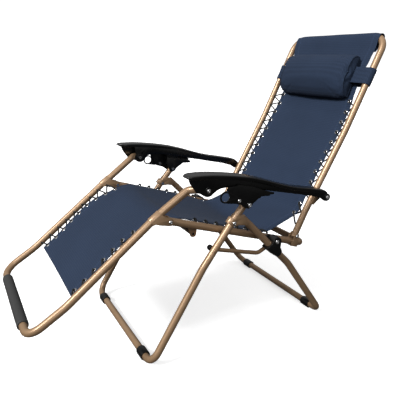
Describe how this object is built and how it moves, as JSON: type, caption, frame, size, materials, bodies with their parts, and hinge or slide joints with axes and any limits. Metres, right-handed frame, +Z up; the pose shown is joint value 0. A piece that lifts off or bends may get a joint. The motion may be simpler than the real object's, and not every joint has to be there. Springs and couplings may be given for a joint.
{
  "type": "zero gravity recliner",
  "caption": "Folding recliner with crossed tube legs, a laced cloth sling, a raised leg rest, moulded arm rails with slide locks and a head pillow.",
  "frame": {"origin": "centre of the footprint box, on the floor", "axes": "+X to the side shown nearer in the picture, +Y from the foot end towards the head end, +Z up"},
  "size_m": [0.65, 1.359, 1.056],
  "materials": {
    "bronze_paint": "metallic satin paint",
    "brace_paint": "metallic satin paint",
    "bolt_steel": "bright zinc",
    "arm_plastic": "semi-gloss black",
    "fitting_plastic": "satin black",
    "sling_cloth": "woven mesh",
    "pillow_cloth": "woven, padded",
    "lace_cord": "braided",
    "roller_foam": "foam"
  },
  "bodies": {
    "stand": {"rear_leg_frame": "bronze_paint", "front_leg_frame": "bronze_paint", "cross_gusset_right": "bronze_paint", "cross_gusset_left": "bronze_paint", "leg_fitting_right": "fitting_plastic", "leg_fitting_left": "fitting_plastic", "front_foot_cap_right": "fitting_plastic", "front_foot_cap_left": "fitting_plastic", "rear_foot_cap_right": "fitting_plastic", "rear_foot_cap_left": "fitting_plastic", "cross_pivot_bolt_right": "bolt_steel", "cross_pivot_bolt_left": "bolt_steel", "seat_pivot_bolt_right": "bolt_steel", "seat_pivot_bolt_left": "bolt_steel", "lock_pivot_bolt_right": "bolt_steel", "lock_pivot_bolt_left": "bolt_steel", "brace_end_cap_right": "fitting_plastic", "brace_end_cap_left": "fitting_plastic", "brace_rod_right": "brace_paint", "brace_rod_left": "brace_paint"},
    "seat": {"seat_frame": "bronze_paint", "seat_crossbar": "brace_paint", "sling_seat": "sling_cloth", "back_lug_right": "bronze_paint", "back_lug_left": "bronze_paint", "seat_saddle_right": "fitting_plastic", "seat_saddle_left": "fitting_plastic", "seat_lacing_right": "lace_cord", "seat_lacing_left": "lace_cord"},
    "back": {"back_frame": "bronze_paint", "sling_back": "sling_cloth", "arm_bracket_right": "bronze_paint", "arm_bracket_left": "bronze_paint", "back_pivot_bolt_right": "bolt_steel", "back_pivot_bolt_left": "bolt_steel", "back_lacing_right": "lace_cord", "back_lacing_left": "lace_cord"},
    "legrest": {"legrest_frame": "bronze_paint", "foot_roller": "roller_foam", "sling_legrest": "sling_cloth", "knee_gusset_right": "bronze_paint", "knee_gusset_left": "bronze_paint", "knee_pivot_bolt_right": "bolt_steel", "knee_pivot_bolt_left": "bolt_steel", "legrest_lacing_right": "lace_cord", "legrest_lacing_left": "lace_cord"},
    "headrest": {"pillow": "pillow_cloth", "pillow_strap": "pillow_cloth"},
    "arm_right": {"armrest_right": "arm_plastic", "arm_front_bolt_right": "bolt_steel", "arm_rear_bolt_right": "bolt_steel"},
    "lock_right": {"lock_housing_right": "fitting_plastic", "lever_bolt_right": "bolt_steel"},
    "lever_right": {"lock_lever_right": "arm_plastic"},
    "arm_left": {"armrest_left": "arm_plastic", "arm_front_bolt_left": "bolt_steel", "arm_rear_bolt_left": "bolt_steel"},
    "lock_left": {"lock_housing_left": "fitting_plastic", "lever_bolt_left": "bolt_steel"},
    "lever_left": {"lock_lever_left": "arm_plastic"}
  },
  "joints": [
    {"name": "seat_recline", "type": "hinge", "parent": "stand", "child": "seat", "pos_m": [0, 0.172, 0.359], "axis": [1, 0, 0], "range_deg": [-16.6, 3.2]},
    {"name": "back_recline", "type": "hinge", "parent": "seat", "child": "back", "pos_m": [0, 0.292, 0.345], "axis": [1, 0, 0], "range_deg": [-16.63, 3.21]},
    {"name": "legrest_recline", "type": "hinge", "parent": "seat", "child": "legrest", "pos_m": [0, -0.214, 0.486], "axis": [1, 0, 0], "range_deg": [-27.24, 5.26]},
    {"name": "arm_right_recline", "type": "hinge", "parent": "back", "child": "arm_right", "pos_m": [0, 0.389, 0.489], "axis": [1, 0, 0], "range_deg": [-3.85, 19.91]},
    {"name": "arm_left_recline", "type": "hinge", "parent": "back", "child": "arm_left", "pos_m": [0, 0.389, 0.489], "axis": [1, 0, 0], "range_deg": [-3.85, 19.91]},
    {"name": "lock_right_swivel", "type": "hinge", "parent": "stand", "child": "lock_right", "pos_m": [0, 0.045, 0.515], "axis": [1, 0, 0], "range_deg": [-13.33, 2.58]},
    {"name": "lock_left_swivel", "type": "hinge", "parent": "stand", "child": "lock_left", "pos_m": [0, 0.045, 0.515], "axis": [1, 0, 0], "range_deg": [-13.33, 2.58]},
    {"name": "lever_right_lift", "type": "hinge", "parent": "lock_right", "child": "lever_right", "pos_m": [0, 0.002, 0.537], "axis": [1, 0, 0], "range_deg": [-22, 0]},
    {"name": "lever_left_lift", "type": "hinge", "parent": "lock_left", "child": "lever_left", "pos_m": [0, 0.002, 0.537], "axis": [1, 0, 0], "range_deg": [-22, 0]},
    {"name": "headrest_slide", "type": "slide", "parent": "back", "child": "headrest", "axis": [0, 0.4521, 0.892], "range_m": [-0.09, 0.035]}
  ],
  "couplings": [
    {"joint": "back_recline", "follows": "seat_recline", "ratio": 1.0012},
    {"joint": "legrest_recline", "follows": "seat_recline", "ratio": 1.6401},
    {"joint": "arm_right_recline", "follows": "seat_recline", "ratio": -1.1985},
    {"joint": "arm_left_recline", "follows": "seat_recline", "ratio": -1.1985},
    {"joint": "lock_right_swivel", "follows": "seat_recline", "ratio": 0.8027},
    {"joint": "lock_left_swivel", "follows": "seat_recline", "ratio": 0.8027}
  ]
}
